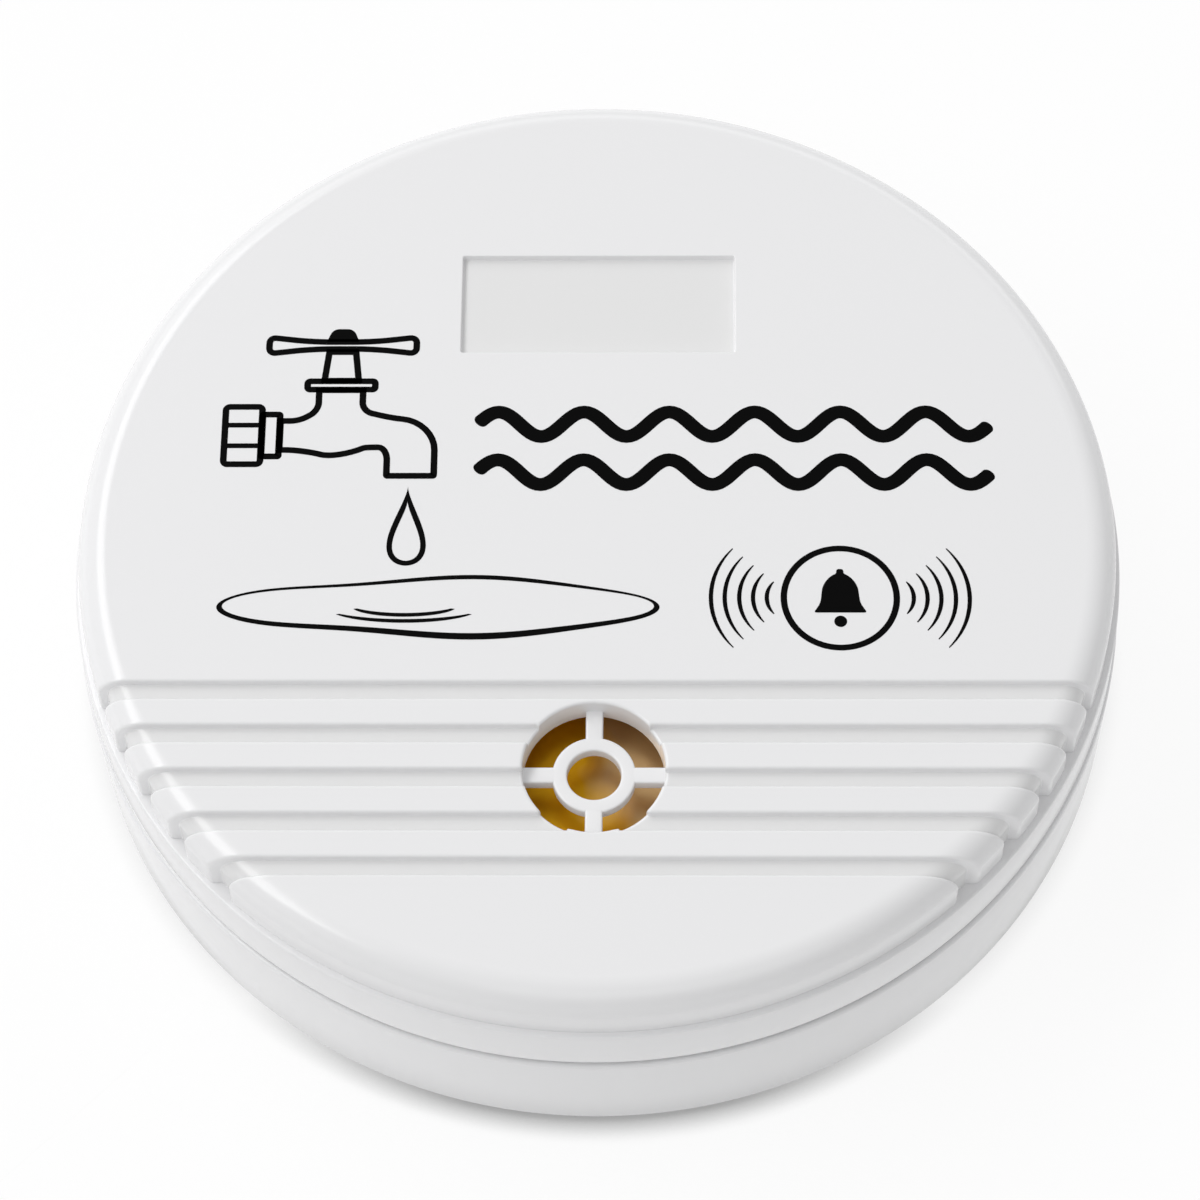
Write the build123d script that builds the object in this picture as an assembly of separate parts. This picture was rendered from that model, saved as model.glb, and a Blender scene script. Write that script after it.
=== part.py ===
from build123d import *
import os
from math import cos, radians, sin, sqrt, tan

# Case, in millimetres, with the feet standing on z = 0 and the sound port towards -Y
case_radius = 35.0
case_draft_degrees = 1.0
foot_height = 1.0
parting_gap = 0.5
base_step = 0.15
skirt_height = 3.85
plateau_rise = 4.0

# Base shell
base_wall = 2.2
floor_wall = 2.4
spigot_wall = 1.0
spigot_height = 2.4
rim_edge_radius = 0.3
foot_radius = 3.0
foot_inset = 6.5
foot_angles = (45, 135, 225, 315)
foot_edge_radius = 0.4

# Front cover
fit_clearance = 0.15
face_wall = 2.0
plateau_side_wall = 1.75
ledge_width = 0.42
ledge_edge_radius = 0.2
plateau_edge_radius = 2.0

# Five straight grooves across the front, counted down from the upper one
groove_count = 5
groove_lead = 5.55
groove_pitch = 3.14
groove_width = 1.3
groove_depth = 0.55
groove_edge_radius = 0.1

# Sound port with a hub ring on four spokes
port_radius = 4.6
port_chamfer = 0.2
hub_outer_radius = 2.7
hub_inner_radius = 1.75
spoke_width = 1.13
spoke_count = 4
hub_drop = 1.2
grille_edge_radius = 0.15

# Shallow recess for a name plate, left bare
plate_length = 18.5
plate_height = 7.7
plate_inset = 16.95
plate_depth = 0.8
plate_draft_degrees = 5.0
plate_corner_radius = 0.15
plate_edge_radius = 0.1

# Case screws
case_post_inset = 1.8
case_screw_angles = (90, 205, 335)
case_screw_length = 9.5
case_screw_radius = 1.15
case_screw_head_radius = 2.2
case_screw_head_height = 1.5
case_screw_recess = 2.0
case_post_wall = 1.85
base_post_height = 4.0

# Smaller screws of the circuit board and the battery door
small_screw_radius = 0.9
small_screw_length = 4.2
small_screw_head_radius = 1.8
small_screw_head_height = 1.1
small_post_wall = 1.3
thread_clearance = 0.05
head_clearance = 0.3
screw_end_room = 0.4
cross_width = 0.6
cross_length = 2.2
cross_depth = 0.7

# Piezo sounder
piezo_radius = 13.5
piezo_thickness = 0.3
ceramic_radius = 10.0
ceramic_thickness = 0.25
sound_chamber_height = 1.8
piezo_seat_width = 1.2
piezo_rim_wall = 0.8
piezo_rim_depth = 0.9
piezo_rim_gap = 0.56

# Button cells, with their axes along X
cell_radius = 5.8
cell_length = 5.4
cell_count = 3
cell_cap_radius = 4.9
cell_cap_height = 0.6
cell_edge_radius = 0.4
cell_clearance = 0.2

# Battery box, its contacts and its door
box_wall = 1.2
box_roof_gap = 0.2
box_post_gap = 0.5
contact_thickness = 0.4
contact_width = 6.6
contact_height = 9.0
tail_width = 2.0
tail_reach = 2.2
tail_rise = 3.3
slot_clearance = 0.2
leaf_width = 5.0
leaf_height = 7.0
leaf_travel = 2.0
door_thickness = 1.6
door_overlap = 1.5
door_corner_radius = 2.0
door_clearance = 0.2
hook_width = 2.2
hook_height = 0.9
hook_reach = 1.0
hook_root = 1.2
hook_spread = 4.6

# Circuit board
board_width = 20.0
board_lead = 2.1
board_wall_gap = 1.0
board_thickness = 1.2
board_standoff = 2.0
board_corner = 3.0
board_screw_inset = 3.2
board_rest_radius = 1.5
board_rest_inset = 2.0

# Parts on the circuit board
blob_radius = 4.0
blob_height = 1.4
coil_place = (-6.5, 4.0)
coil_radius = 3.2
coil_height = 6.0
coil_flange = 0.9
coil_stem_radius = 1.5
coil_winding_inset = 0.3
coil_fit = 0.05
transistor_place = (5.0, 5.5)
transistor_radius = 2.4
transistor_flat = 1.3
transistor_height = 4.4
transistor_lift = 1.6
leg_width = 0.5
leg_pitch = 1.3
capacitor_place = (12.5, 4.0)
capacitor_radius = 2.5
capacitor_height = 5.4
capacitor_edge_radius = 0.3
capacitor_crimp_width = 0.6
capacitor_crimp_depth = 0.25
capacitor_crimp_height = 1.0
resistor_place = (-8.5, -1.5)
resistor_pitch = 2.7
resistor_count = 3
resistor_length = 3.4
resistor_radius = 0.9
resistor_span = 5.6
resistor_wire_radius = 0.25

# Sensing probes, each a stud through the floor with a ring terminal and a nut
probe_x = 14.0
probe_y = 3.0
probe_head_radius = 3.0
probe_head_height = 0.7
probe_shank_radius = 1.2
probe_shank_end = 0.6
probe_clearance = 0.1
terminal_thickness = 0.4
terminal_radius = 2.6
terminal_neck_width = 1.8
barrel_radius = 0.9
barrel_length = 3.0
nut_across_flats = 5.0
nut_height = 1.6
nut_clearance = 0.15

# Insulated leads, with their bends as offsets from where they start
lead_radius = 0.45
lead_bend_share = 0.45
battery_lead_bends = ((2.5, 0.0, 0.0), (4.0, -4.0, -0.6), (3.0, -9.0, -1.2), (0.0, -15.0, -1.6))
battery_lead_shift = 1.8
battery_lead_fall = 2.6
battery_solder_inset = 2.0
probe_lead_bends = ((2.4, 0.0, 0.0), (3.6, -3.0, 2.2), (1.8, -6.0, 4.6))
probe_lead_rise = 5.4
probe_solder_inset = (1.8, 2.4)
piezo_lead_bends = ((0.0, 0.0, -2.2), (2.0, -2.6, -4.6))
live_lead_inset = 2.0

# Heights that follow from the sizes above, from the feet up
rim_bottom = foot_height
floor_top = rim_bottom + floor_wall
door_top = rim_bottom + door_thickness
cell_axis = door_top + cell_clearance + cell_radius
box_roof = cell_axis + cell_radius + cell_clearance
box_top = box_roof + box_wall
ceiling = box_top + box_roof_gap
face_top = ceiling + face_wall
ledge_top = face_top - plateau_rise
skirt_bottom = ledge_top - skirt_height
base_top = skirt_bottom - parting_gap
spigot_top = base_top + spigot_height
piezo_top = ceiling - sound_chamber_height
piezo_bottom = piezo_top - piezo_thickness
base_post_top = floor_top + base_post_height
case_screw_seat = rim_bottom + case_screw_recess
door_screw_seat = rim_bottom + small_screw_head_height
board_bottom = floor_top + board_standoff
board_top = board_bottom + board_thickness
terminal_top = floor_top + terminal_thickness
nut_top = terminal_top + nut_height
tail_z = cell_axis + tail_rise

# Radii that follow from the case
draft = tan(radians(case_draft_degrees))
base_bottom_radius = case_radius - (base_top - rim_bottom) * draft
base_inner_radius = case_radius - base_wall
spigot_radius = base_inner_radius + spigot_wall
skirt_radius = case_radius - base_step
ledge_radius = skirt_radius - skirt_height * draft
plateau_radius = ledge_radius - ledge_width
cover_inner_radius = plateau_radius - plateau_side_wall
case_post_radius = case_screw_radius + case_post_wall
case_screw_circle = base_inner_radius - case_post_inset - case_post_radius
small_post_radius = small_screw_radius + small_post_wall
piezo_rim_radius = piezo_radius + fit_clearance + piezo_rim_wall

# Places in plan that follow from the case and from each other
port_y = piezo_rim_radius + piezo_rim_gap - cover_inner_radius
groove_first_y = port_y + groove_lead
plate_y = plateau_radius - plate_inset
stack_length = cell_count * cell_length
box_half_length = (stack_length + leaf_travel + 2 * contact_thickness) / 2
box_half_width = cell_radius + cell_clearance
box_y = case_screw_circle - case_post_radius - box_post_gap - box_wall - box_half_width
stack_right = box_half_length - contact_thickness
stack_left = stack_right - stack_length
tail_end = box_half_length + box_wall + tail_reach
door_screw_x = box_half_length + box_wall + small_post_radius
board_y = port_y + board_lead
board_front = board_y - board_width / 2
board_back = board_y + board_width / 2
board_half_length = sqrt((base_inner_radius - board_wall_gap) ** 2 - board_front**2)
board_screw_x = board_half_length - board_screw_inset
barrel_start = nut_across_flats / 2 / cos(radians(30)) + nut_clearance

# Ways for a primitive to lie on its place
UPWARD = (Align.CENTER, Align.CENTER, Align.MIN)
DOWNWARD = (Align.CENTER, Align.CENTER, Align.MAX)

# How far an edge may lie from where it is looked for
NEAR = 0.001


def around(radius, angles):
    """Places on a circle about the case's axis, for angles in degrees from +X."""
    return [(radius * cos(radians(a)), radius * sin(radians(a))) for a in angles]


def post(place, bottom, top, radius):
    return Pos(place[0], place[1], bottom) * Cylinder(radius, top - bottom, align=UPWARD)


def block(left, right, front, back, bottom, top):
    middle = Pos((left + right) / 2, (front + back) / 2, (bottom + top) / 2)
    return middle * Box(right - left, back - front, top - bottom)


def turned(*points):
    """A solid of revolution about Z from an outline in radius and height."""
    return revolve(Plane.XZ * make_face(Polyline(*points, close=True)), Axis.Z)


def edges_at(shape, radius, height):
    """The circular edges of a given radius about the case's axis at a given height."""
    centre = Vector(0, 0, height)
    circles = shape.edges().filter_by(GeomType.CIRCLE)
    return [e for e in circles if abs(e.radius - radius) < NEAR and (e.arc_center - centre).length < NEAR]


def cross_screw(radius, length, head_radius, head_height):
    """A pan-head screw that points up, with its seat at z = 0 and a cross in its head."""
    head = Cylinder(head_radius, head_height, align=DOWNWARD)
    head = fillet(head.edges().group_by(Axis.Z)[0], head_height / 3)
    shank = Cylinder(radius, length, align=UPWARD)
    shank = chamfer(shank.edges().group_by(Axis.Z)[-1], radius / 2)
    cross = Box(cross_length, cross_width, cross_depth, align=UPWARD)
    cross += Box(cross_width, cross_length, cross_depth, align=UPWARD)
    return head + shank - Pos(0, 0, -head_height) * cross


case_screw_places = around(case_screw_circle, case_screw_angles)
board_screw_places = [(-board_screw_x, board_y), (board_screw_x, board_y)]
door_screw_place = (door_screw_x, box_y)
probe_places = [(-probe_x, probe_y), (probe_x, probe_y)]


# Front cover: one moulding with a ledge round it, a grooved face, the sound port and the inner posts
def plateau(inset):
    """The raised face with its rounded edge, set in by the given amount all over."""
    body = post((0, 0), ledge_top, face_top - inset, plateau_radius - inset)
    return fillet(edges_at(body, plateau_radius - inset, face_top - inset), plateau_edge_radius - inset)


def groove_slabs():
    slabs = Part()
    for i in range(groove_count):
        y = groove_first_y - i * groove_pitch
        front, back = y - groove_width / 2, y + groove_width / 2
        slabs += block(-case_radius, case_radius, front, back, ledge_top, face_top)
    return slabs


def grooved_plateau():
    """The raised face with grooves of one depth that follow it over its edge and down its side."""
    body = plateau(0) - (groove_slabs() - plateau(groove_depth))
    on_face = body.edges().filter_by(GeomType.LINE).filter_by_position(Axis.Z, face_top, face_top)
    return fillet(on_face, groove_edge_radius)


def rim():
    """The skirt under the ledge, with the rebate that takes the base's spigot."""
    rebate_radius = spigot_radius + fit_clearance
    rebate_top = spigot_top + 2 * fit_clearance
    body = turned(
        (rebate_radius, skirt_bottom),
        (skirt_radius, skirt_bottom),
        (ledge_radius, ledge_top),
        (cover_inner_radius, ledge_top),
        (cover_inner_radius, rebate_top),
        (rebate_radius, rebate_top),
    )
    soft = edges_at(body, ledge_radius, ledge_top) + edges_at(body, skirt_radius, skirt_bottom)
    return fillet(soft, ledge_edge_radius)


def port_hole():
    """The open sound port, widened by a chamfer at the face."""
    hole = turned(
        (0, ceiling),
        (port_radius, ceiling),
        (port_radius, face_top - port_chamfer),
        (port_radius + port_chamfer, face_top),
        (0, face_top),
    )
    return Pos(0, port_y, 0) * hole


def plate_recess():
    """The shallow recess, narrowing to its floor so that it leaves the mould."""
    outline = Pos(0, plate_y, face_top) * RectangleRounded(plate_length, plate_height, plate_corner_radius)
    return extrude(outline, plate_depth, dir=(0, 0, -1), taper=plate_draft_degrees)


def port_grille():
    """The hub ring on its spokes, with its underside level with the ceiling."""
    top = face_top - hub_drop
    spokes = Part()
    half = spoke_width / 2
    for i in range(spoke_count):
        spoke = block(hub_inner_radius, port_radius + half, -half, half, ceiling, top)
        spokes += Rot(0, 0, i * 360 / spoke_count) * spoke
    hub = post((0, 0), ceiling, top, hub_outer_radius)
    body = hub + spokes - post((0, 0), ceiling, top, hub_inner_radius)
    return Pos(0, port_y, 0) * fillet(body.edges().group_by(Axis.Z)[-1], grille_edge_radius)


def sounder_seat():
    """The ring under the port that the brass plate is stuck to, with a rim round the plate."""
    seat_inner = piezo_radius - piezo_seat_width
    rim_inner = piezo_radius + fit_clearance
    ring = turned(
        (seat_inner, ceiling),
        (piezo_rim_radius, ceiling),
        (piezo_rim_radius, piezo_top - piezo_rim_depth),
        (rim_inner, piezo_top - piezo_rim_depth),
        (rim_inner, piezo_top),
        (seat_inner, piezo_top),
    )
    return Pos(0, port_y, 0) * ring


def front_cover():
    body = grooved_plateau() - plate_recess()
    half = plate_height / 2 + NEAR
    on_face = body.edges().filter_by_position(Axis.Z, face_top - NEAR, face_top + NEAR)
    body = fillet(on_face.filter_by_position(Axis.Y, plate_y - half, plate_y + half), plate_edge_radius)
    body -= port_hole() + post((0, 0), ledge_top, ceiling, cover_inner_radius)
    body += rim() + port_grille() + sounder_seat()
    for place in case_screw_places:
        screw_end = case_screw_seat + case_screw_length
        body += post(place, base_post_top, ceiling, case_post_radius)
        body -= post(place, base_post_top, screw_end + screw_end_room, case_screw_radius + thread_clearance)
    return body


# Base: one moulding with the feet, the posts and the battery box
def base_shell():
    body = turned(
        (0, rim_bottom),
        (base_bottom_radius, rim_bottom),
        (case_radius, base_top),
        (spigot_radius, base_top),
        (spigot_radius, spigot_top),
        (base_inner_radius, spigot_top),
        (base_inner_radius, floor_top),
        (0, floor_top),
    )
    outer = edges_at(body, case_radius, base_top)
    return fillet(outer + edges_at(body, base_bottom_radius, rim_bottom), rim_edge_radius)


def foot(place):
    body = post(place, 0, rim_bottom, foot_radius)
    return fillet(body.edges().group_by(Axis.Z)[0], foot_edge_radius)


def door_outline(grow):
    """The door's outline in plan, from the hooked end to past the screw, grown by a clearance."""
    left = -box_half_length - door_overlap
    right = door_screw_x + small_screw_head_radius + door_overlap
    width = 2 * (box_half_width + door_overlap + grow)
    outline = RectangleRounded(right - left + 2 * grow, width, door_corner_radius + grow)
    return Pos((left + right) / 2, box_y, rim_bottom) * outline


def hook_places():
    return [box_y - hook_spread, box_y + hook_spread]


def board_rests():
    reach = board_width / 2 - board_rest_inset
    return [(0, board_y - reach), (0, board_y + reach)]


def both_ends(body):
    """A body at the right-hand end of the battery box and its mirror image at the left."""
    return body + mirror(body, Plane.YZ)


def boxed(half_length, half_width, bottom, top):
    """A block about the battery box's place in plan."""
    return block(-half_length, half_length, box_y - half_width, box_y + half_width, bottom, top)


def base_holes():
    """All that is open in the base: the battery box, the door's seat, screw holes and slots."""
    holes = boxed(box_half_length, box_half_width, rim_bottom, box_roof)
    holes += extrude(door_outline(door_clearance), door_thickness)
    door_screw_end = door_screw_seat + small_screw_length + screw_end_room
    holes += post(door_screw_place, door_top, door_screw_end, small_screw_radius + thread_clearance)
    box_end = box_half_length + box_wall
    for y in hook_places():
        half = hook_width / 2 + slot_clearance
        hook_top = floor_top + hook_height + 2 * slot_clearance
        holes += block(-box_end, -box_half_length, y - half, y + half, floor_top, hook_top)
    half = tail_width / 2 + slot_clearance
    slot_bottom = tail_z - slot_clearance
    slot_top = tail_z + contact_thickness + slot_clearance
    holes += both_ends(block(box_half_length, box_end, box_y - half, box_y + half, slot_bottom, slot_top))
    board_screw_end = board_top - small_screw_length - screw_end_room
    for place in board_screw_places:
        holes += post(place, board_screw_end, board_bottom, small_screw_radius + thread_clearance)
    for place in case_screw_places:
        holes += post(place, case_screw_seat, base_post_top, case_screw_radius + head_clearance)
        holes += post(place, rim_bottom, case_screw_seat, case_screw_head_radius + head_clearance)
    for place in probe_places:
        holes += post(place, rim_bottom, floor_top, probe_shank_radius + probe_clearance)
    return holes


def base():
    body = base_shell()
    for place in around(case_radius - foot_inset, foot_angles):
        body += foot(place)
    body += boxed(box_half_length + box_wall, box_half_width + box_wall, floor_top, box_top)
    door_post_top = door_screw_seat + small_screw_length + screw_end_room + small_post_wall
    body += post(door_screw_place, floor_top, door_post_top, small_post_radius)
    for place in board_screw_places:
        body += post(place, floor_top, board_bottom, small_post_radius)
    for place in board_rests():
        body += post(place, floor_top, board_bottom, board_rest_radius)
    for place in case_screw_places:
        body += post(place, floor_top, base_post_top, case_post_radius)
    return body - base_holes()


# Battery door: a plate with two hooks at one end and a screw at the other
def battery_door():
    body = extrude(door_outline(0), door_thickness)
    left = -box_half_length
    for y in hook_places():
        front, back = y - hook_width / 2, y + hook_width / 2
        lift = floor_top + slot_clearance
        body += block(left + door_clearance, left + hook_root, front, back, door_top, lift + hook_height)
        body += block(left - hook_reach, left + hook_root, front, back, lift, lift + hook_height)
    body -= post(door_screw_place, rim_bottom, door_top, small_screw_radius + head_clearance)
    body -= post(door_screw_place, rim_bottom, door_screw_seat, small_screw_head_radius + head_clearance)
    return body


# Screws
def case_screws():
    sizes = (case_screw_radius, case_screw_length, case_screw_head_radius, case_screw_head_height)
    return [Pos(*place, case_screw_seat) * cross_screw(*sizes) for place in case_screw_places]


def small_screw():
    sizes = (small_screw_radius, small_screw_length, small_screw_head_radius, small_screw_head_height)
    return cross_screw(*sizes)


def battery_door_screw():
    return Pos(*door_screw_place, door_screw_seat) * small_screw()


def board_screws():
    return [Pos(*place, board_top) * Rot(180, 0, 0) * small_screw() for place in board_screw_places]


# Piezo sounder: a brass plate with a ceramic disc under it
def piezo_plate():
    return post((0, port_y), piezo_bottom, piezo_top, piezo_radius)


def piezo_ceramic():
    return post((0, port_y), piezo_bottom - ceramic_thickness, piezo_bottom, ceramic_radius)


# Button cells in a row, each with its smaller cap to the left
def battery_cell(index):
    can = Cylinder(cell_radius, cell_length - cell_cap_height, align=UPWARD)
    can = fillet(can.edges().filter_by(GeomType.CIRCLE), cell_edge_radius)
    cap = Pos(0, 0, cell_length) * Cylinder(cell_cap_radius, 2 * cell_cap_height, align=DOWNWARD)
    cap = fillet(cap.edges().group_by(Axis.Z)[-1], cell_cap_height / 2)
    return Pos(stack_right - index * cell_length, box_y, cell_axis) * Rot(0, -90, 0) * (can + cap)


# Battery contacts: plates with a tail through the end wall, the left one with a sprung leaf
def contact_plate():
    half = contact_width / 2
    bottom, top = cell_axis - contact_height / 2, cell_axis + contact_height / 2
    plate = block(stack_right, box_half_length, box_y - half, box_y + half, bottom, top)
    half = tail_width / 2
    bottom, top = tail_z, tail_z + contact_thickness
    return plate + block(stack_right, tail_end, box_y - half, box_y + half, bottom, top)


def battery_spring():
    root = contact_thickness - box_half_length
    bottom, top = cell_axis - leaf_height / 2, cell_axis + leaf_height / 2
    outer = ThreePointArc((root, bottom), (stack_left, cell_axis), (root, top))
    inner_bottom, inner_top = bottom + contact_thickness, top - contact_thickness
    inner_middle = stack_left - contact_thickness
    inner = ThreePointArc((root, inner_top), (inner_middle, cell_axis), (root, inner_bottom))
    closing = [Line(outer @ 1, inner @ 0), Line(inner @ 1, outer @ 0)]
    leaf = extrude(Plane.XZ * make_face([outer, inner] + closing), leaf_width / 2, both=True)
    return mirror(contact_plate(), Plane.YZ) + Pos(0, box_y, 0) * leaf


# Circuit board, with the corners near the wall cut off
def circuit_board():
    body = block(-board_half_length, board_half_length, board_front, board_back, board_bottom, board_top)
    near_wall = body.edges().filter_by(Axis.Z).group_by(Axis.Y)[0]
    body = chamfer(near_wall, board_corner)
    for place in board_screw_places:
        body -= post(place, board_bottom, board_top, small_screw_radius + head_clearance)
    return body


def on_board(place, body):
    """Puts a body that stands on z = 0 on the board, at a place from the board's middle."""
    return Pos(place[0], board_y + place[1], board_top) * body


def chip_blob():
    dome_radius = (blob_radius**2 + blob_height**2) / (2 * blob_height)
    dome = Pos(0, 0, blob_height - dome_radius) * Sphere(dome_radius)
    return on_board((0, 0), dome & Cylinder(blob_radius, blob_height, align=UPWARD))


def coil_core():
    flange = Cylinder(coil_radius, coil_flange, align=UPWARD)
    stem = Cylinder(coil_stem_radius, coil_height, align=UPWARD)
    return on_board(coil_place, flange + stem + Pos(0, 0, coil_height - coil_flange) * flange)


def coil_winding():
    height = coil_height - 2 * coil_flange
    ring = Cylinder(coil_radius - coil_winding_inset, height, align=UPWARD)
    ring -= Cylinder(coil_stem_radius + coil_fit, height, align=UPWARD)
    return on_board(coil_place, Pos(0, 0, coil_flange) * ring)


def transistor():
    body = Cylinder(transistor_radius, transistor_height, align=UPWARD)
    body -= block(
        -transistor_radius, transistor_radius, -transistor_radius, -transistor_flat, 0, transistor_height
    )
    body = Pos(0, 0, transistor_lift) * body
    for i in (-1, 0, 1):
        body += Pos(i * leg_pitch, 0, 0) * Box(leg_width, leg_width, 2 * transistor_lift, align=UPWARD)
    return on_board(transistor_place, body)


def capacitor():
    can = Cylinder(capacitor_radius, capacitor_height, align=UPWARD)
    can = fillet(can.edges().filter_by(GeomType.CIRCLE), capacitor_edge_radius)
    crimp = Cylinder(capacitor_radius, capacitor_crimp_width, align=UPWARD)
    crimp -= Cylinder(capacitor_radius - capacitor_crimp_depth, capacitor_crimp_width, align=UPWARD)
    return on_board(capacitor_place, can - Pos(0, 0, capacitor_crimp_height) * crimp)


def resistor():
    """A small resistor lying along X on two bent wires."""
    body = Rot(0, 90, 0) * Cylinder(resistor_radius, resistor_length)
    body = fillet(body.edges().filter_by(GeomType.CIRCLE), resistor_radius / 2)
    body += Rot(0, 90, 0) * Cylinder(resistor_wire_radius, resistor_span)
    for end in (-1, 1):
        wire_x = end * (resistor_span / 2 - resistor_wire_radius)
        body += Pos(wire_x, 0, 0) * Cylinder(resistor_wire_radius, resistor_radius, align=DOWNWARD)
    return Pos(0, 0, resistor_radius) * body


def resistors():
    places = [(resistor_place[0], resistor_place[1] - i * resistor_pitch) for i in range(resistor_count)]
    return [on_board(place, resistor()) for place in places]


# Sensing probes
def probe(place):
    head = Cylinder(probe_head_radius, probe_head_height, align=DOWNWARD)
    head = fillet(head.edges().group_by(Axis.Z)[0], probe_head_height / 2)
    shank = Cylinder(probe_shank_radius, nut_top + probe_shank_end - rim_bottom, align=UPWARD)
    return Pos(*place, rim_bottom) * (head + shank)


def probe_terminal(side):
    """A ring terminal on the floor, with its barrel pointing outwards."""
    hole = Cylinder(probe_shank_radius + probe_clearance, terminal_thickness, align=UPWARD)
    half = terminal_neck_width / 2
    neck = block(0, barrel_start + barrel_length, -half, half, 0, terminal_thickness)
    barrel = Rot(0, 90, 0) * Cylinder(barrel_radius, barrel_length, align=UPWARD)
    barrel = Pos(barrel_start, 0, barrel_radius) * barrel
    body = Cylinder(terminal_radius, terminal_thickness, align=UPWARD) + neck - hole + barrel
    turn = 0 if side == 1 else 180
    return Pos(side * probe_x, probe_y, floor_top) * Rot(0, 0, turn) * body


def probe_nut(place):
    hexagon = RegularPolygon(nut_across_flats / 2, 6, major_radius=False)
    bore = Circle(probe_shank_radius + probe_clearance)
    return Pos(*place, terminal_top) * extrude(hexagon - bore, nut_height)


# Leads, as straight runs joined by arcs, from what they are soldered to down to the board
def lead(points):
    vectors = [Vector(*point) for point in points]
    radii = []
    for before, corner, after in zip(vectors, vectors[1:], vectors[2:]):
        run = min((corner - before).length, (after - corner).length)
        turn = (corner - before).get_angle(after - corner)
        radii.append(lead_bend_share * run / tan(radians(turn / 2)))
    path = FilletPolyline(*points, radius=radii)
    section = Plane(origin=path @ 0, z_dir=path % 0) * Circle(lead_radius)
    return sweep(section, path=path)


def mirrored(points):
    return [(-x, y, z) for x, y, z in points]


def bent(start, bends):
    """A route's first points: its start and the bends that are given as offsets from it."""
    return [start] + [tuple(a + b for a, b in zip(start, bend)) for bend in bends]


def battery_route():
    start = (tail_end, box_y, tail_z + contact_thickness / 2)
    x = tail_end - battery_lead_shift
    y = board_back - battery_solder_inset
    return bent(start, battery_lead_bends) + [(x, y, start[2] - battery_lead_fall), (x, y, board_top)]


def probe_route():
    start = (probe_x + barrel_start + barrel_length, probe_y, floor_top + barrel_radius)
    x = board_half_length - probe_solder_inset[0]
    y = board_back - probe_solder_inset[1]
    return bent(start, probe_lead_bends) + [(x, y, start[2] + probe_lead_rise), (x, y, board_top)]


def piezo_route(*start):
    points = bent(start, piezo_lead_bends)
    x, y, _ = points[-1]
    return points + [(x, y, board_top)]


def leads():
    brass_x = (ceramic_radius + piezo_radius) / 2
    live_x = ceramic_radius - live_lead_inset
    return {
        "battery_lead_positive": lead(battery_route()),
        "battery_lead_negative": lead(mirrored(battery_route())),
        "probe_lead_right": lead(probe_route()),
        "probe_lead_left": lead(mirrored(probe_route())),
        "piezo_lead_live": lead(piezo_route(live_x, port_y, piezo_bottom - ceramic_thickness)),
        "piezo_lead_ground": lead(mirrored(piezo_route(brass_x, port_y, piezo_bottom))),
    }


# Every piece under its own name
left_probe, right_probe = probe_places
pieces = {
    "front_cover": front_cover(),
    "base": base(),
    "battery_door": battery_door(),
    "battery_door_screw": battery_door_screw(),
    "case_screws": case_screws(),
    "piezo_plate": piezo_plate(),
    "piezo_ceramic": piezo_ceramic(),
    "battery_contact": contact_plate(),
    "battery_spring": battery_spring(),
    "circuit_board": circuit_board(),
    "board_screws": board_screws(),
    "chip_blob": chip_blob(),
    "boost_coil_core": coil_core(),
    "boost_coil_winding": coil_winding(),
    "transistor": transistor(),
    "capacitor": capacitor(),
    "resistors": resistors(),
    "probe_left": probe(left_probe),
    "probe_right": probe(right_probe),
    "probe_terminal_left": probe_terminal(-1),
    "probe_terminal_right": probe_terminal(1),
    "probe_nuts": [probe_nut(place) for place in probe_places],
}
for index in range(cell_count):
    pieces[f"battery_cell_{index + 1}"] = battery_cell(index)
pieces.update(leads())

os.makedirs("parts", exist_ok=True)
for name, piece in pieces.items():
    shape = Compound(children=piece) if isinstance(piece, list) else piece
    export_step(shape, f"parts/{name}.step")
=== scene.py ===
"""Dresses the water leak detector: outer surfaces, print, finishes, floor, light and camera."""

from math import asin, cos, pi, radians, sin, sqrt, tan
import bmesh
import bpy
from mathutils import Matrix, Vector


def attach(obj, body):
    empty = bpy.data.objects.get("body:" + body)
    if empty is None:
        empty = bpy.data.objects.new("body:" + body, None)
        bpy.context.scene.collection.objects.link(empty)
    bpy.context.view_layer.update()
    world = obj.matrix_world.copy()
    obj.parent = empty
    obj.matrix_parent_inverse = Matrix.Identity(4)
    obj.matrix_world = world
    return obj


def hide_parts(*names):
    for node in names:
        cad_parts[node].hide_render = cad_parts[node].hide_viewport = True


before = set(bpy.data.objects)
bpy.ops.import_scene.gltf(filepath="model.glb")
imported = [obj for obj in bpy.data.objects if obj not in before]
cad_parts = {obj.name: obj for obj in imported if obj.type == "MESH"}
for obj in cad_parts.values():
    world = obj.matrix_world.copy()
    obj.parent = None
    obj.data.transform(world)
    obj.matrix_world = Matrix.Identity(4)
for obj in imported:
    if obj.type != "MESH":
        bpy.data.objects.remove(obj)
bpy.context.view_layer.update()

# Lengths of the pieces are in millimetres; a finished mesh is scaled to metres
MM = 0.001

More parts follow.
